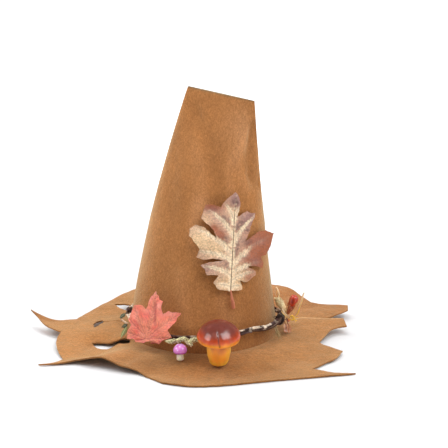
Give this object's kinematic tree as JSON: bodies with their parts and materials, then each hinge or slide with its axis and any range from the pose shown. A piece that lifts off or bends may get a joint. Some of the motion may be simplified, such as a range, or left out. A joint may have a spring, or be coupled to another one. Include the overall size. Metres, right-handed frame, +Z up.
{
  "type": "felt witch hat",
  "caption": "Felt witch hat with a tall flattened cone crown and a ragged brim, trimmed with an oak leaf and a lift-off wreath of vines, mushrooms and leaves.",
  "frame": {"origin": "centre of the hat's footprint on the table, at the height of the lowest felt", "axes": "+X to the wearer's left as the front faces the viewer (the viewer's right), +Y away from the viewer, +Z up along the crown"},
  "size_m": [0.427, 0.3626, 0.3249],
  "materials": {
    "felt": "brushed craft felt, matt, fuzzy cut edges",
    "oak_blade": "printed and embossed artificial leaf cloth, satin",
    "oak_stem": "moulded stem, satin",
    "glue": "hot melt glue, cloudy",
    "vine": "dark dried vine, rough bark with pale patches",
    "binding": "dark paper-covered wire",
    "maple_blade": "coral artificial leaf cloth with embossed veins",
    "cap_brown": "glossy lacquered moulding",
    "stalk_orange": "glossy, slightly translucent moulding",
    "cap_purple": "glossy painted moulding with pale dots",
    "stalk_white": "cream painted moulding",
    "wire": "thin craft wire",
    "bud_green": "cream-green moulded buds",
    "leaf_green": "green moulded leaflets",
    "pale_bark": "pale cut twig with dark flecks",
    "seed_cream": "cream seed head, ribbed",
    "berry_red": "glossy red berry",
    "calyx_brown": "brown scaly calyx",
    "straw_yellow": "yellow raffia",
    "straw": "natural straw",
    "wisp_green": "dry green grass wisp",
    "bead_amber": "translucent amber bead",
    "petal_rust": "thin translucent rust coloured petal"
  },
  "bodies": {
    "hat": {"crown_front_panel": "felt", "crown_back_panel": "felt", "brim": "felt", "oak_leaf": "oak_blade", "oak_leaf_stem": "oak_stem", "oak_leaf_glue": "glue"},
    "wreath": {"vine_a1": "vine", "vine_a2": "vine", "vine_a3": "vine", "vine_b1": "vine", "vine_b2": "vine", "vine_b3": "vine", "vine_c1": "vine", "vine_c2": "vine", "vine_c3": "vine", "wreath_binding": "binding", "maple_leaf": "maple_blade", "maple_leaf_stem": "maple_blade", "mushroom_cap": "cap_brown", "mushroom_stalk": "stalk_orange", "small_mushroom_cap": "cap_purple", "small_mushroom_stalk": "stalk_white", "mushroom_wire": "wire", "small_mushroom_wire": "wire", "bud_sprig": "bud_green", "left_leaflet_upper": "leaf_green", "left_leaflet_middle": "leaf_green", "left_leaflet_lower": "leaf_green", "pale_twig": "pale_bark", "seed_head": "seed_cream", "red_berry": "berry_red", "berry_calyx": "calyx_brown", "straw_knot": "straw_yellow", "straw_right": "straw", "straw_left": "straw", "straw_loop": "straw", "green_wisp_front": "wisp_green", "green_wisp_back": "wisp_green", "amber_bead": "bead_amber", "rust_petal_outer": "petal_rust", "rust_petal_inner": "petal_rust"}
  },
  "joints": [
    {"name": "wreath_lift", "type": "slide", "parent": "hat", "child": "wreath", "axis": [0.0678, 0, 0.9977], "range_m": [0, 0.36]}
  ]
}
